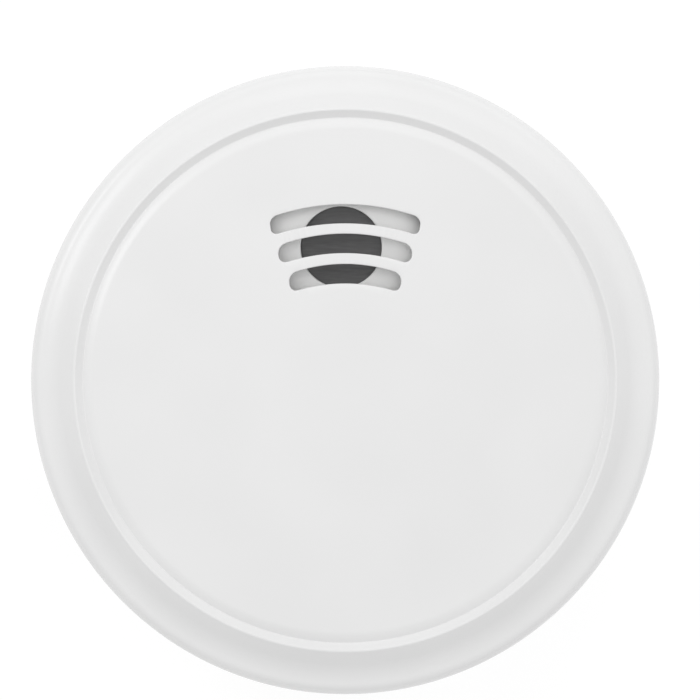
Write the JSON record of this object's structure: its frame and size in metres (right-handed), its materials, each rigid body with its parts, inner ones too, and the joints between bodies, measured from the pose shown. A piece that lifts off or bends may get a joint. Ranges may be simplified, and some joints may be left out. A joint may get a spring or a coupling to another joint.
{
  "type": "smoke detector",
  "caption": "Round white ceiling smoke alarm: bayonet base, vented housing, push-to-test domed cover with arched sounder slots, sealed cell inside.",
  "frame": {"origin": "centre of the mounting base's back face, which lies on the ceiling", "axes": "+Z out of the ceiling towards the room, +Y from the middle towards the sounder slots"},
  "size_m": [0.11, 0.11, 0.034],
  "materials": {
    "white_plastic": "satin",
    "base_plastic": "satin",
    "sounder_plastic": "satin",
    "black_plastic": "matt",
    "sounder_mesh": "matt weave",
    "steel_screen": "woven",
    "circuit_board": "solder mask",
    "zinc_steel": "zinc plated",
    "brass": "plain",
    "piezo_ceramic": "fired",
    "cell_sleeve": "printed sleeve, no print",
    "red_lens": "clear red",
    "clear_lens": "clear",
    "infrared_lens": "clear blue",
    "photodiode_lens": "dark clear",
    "copper_winding": "enamelled",
    "capacitor_can": "bright",
    "tinned_strip": "tinned"
  },
  "bodies": {
    "base": {"mounting_base": "base_plastic"},
    "alarm": {"rear_housing": "white_plastic", "circuit_board": "circuit_board", "board_screw_1": "zinc_steel", "board_screw_2": "zinc_steel", "board_screw_3": "zinc_steel", "chamber_base": "black_plastic", "chamber_labyrinth": "black_plastic", "chamber_cap": "black_plastic", "insect_screen": "steel_screen", "infrared_led": "infrared_lens", "photodiode": "photodiode_lens", "horn_housing": "sounder_plastic", "horn_mesh": "sounder_mesh", "piezo_plate": "brass", "piezo_ceramic": "piezo_ceramic", "piezo_retainer": "black_plastic", "piezo_contact_1": "tinned_strip", "piezo_contact_2": "tinned_strip", "piezo_contact_3": "tinned_strip", "lithium_cell": "cell_sleeve", "cell_positive_tab": "tinned_strip", "cell_negative_tab": "tinned_strip", "test_switch_body": "black_plastic", "status_led": "red_lens", "light_pipe": "clear_lens", "microcontroller": "black_plastic", "storage_capacitor": "capacitor_can", "sounder_coil": "copper_winding", "cover_spring_1": "zinc_steel", "cover_spring_2": "zinc_steel", "cover_spring_3": "zinc_steel"},
    "cover": {"front_cover": "white_plastic"},
    "plunger": {"test_switch_plunger": "zinc_steel"},
    "slider": {"power_slider": "black_plastic", "slider_wiper": "brass"}
  },
  "joints": [
    {"name": "detector_twist", "type": "hinge", "parent": "base", "child": "alarm", "pos_m": [0, 0, 0], "axis": [0, 0, 1], "range_deg": [0, 15]},
    {"name": "cover_press", "type": "slide", "parent": "alarm", "child": "cover", "axis": [0, 0, -1], "range_m": [0, 0.0006], "stiffness_N_per_m": 1500, "springref_m": -0.002, "deforming": ["cover_spring_1", "cover_spring_2", "cover_spring_3"]},
    {"name": "plunger_press", "type": "slide", "parent": "alarm", "child": "plunger", "axis": [0, 0, -1], "range_m": [0, 0.0006]},
    {"name": "slider_turn", "type": "hinge", "parent": "alarm", "child": "slider", "pos_m": [0, 0, 0], "axis": [0, 0, 1], "range_deg": [-15, 0]}
  ],
  "couplings": [
    {"joint": "plunger_press", "follows": "cover_press", "ratio": 1},
    {"joint": "slider_turn", "follows": "detector_twist", "ratio": -1}
  ]
}
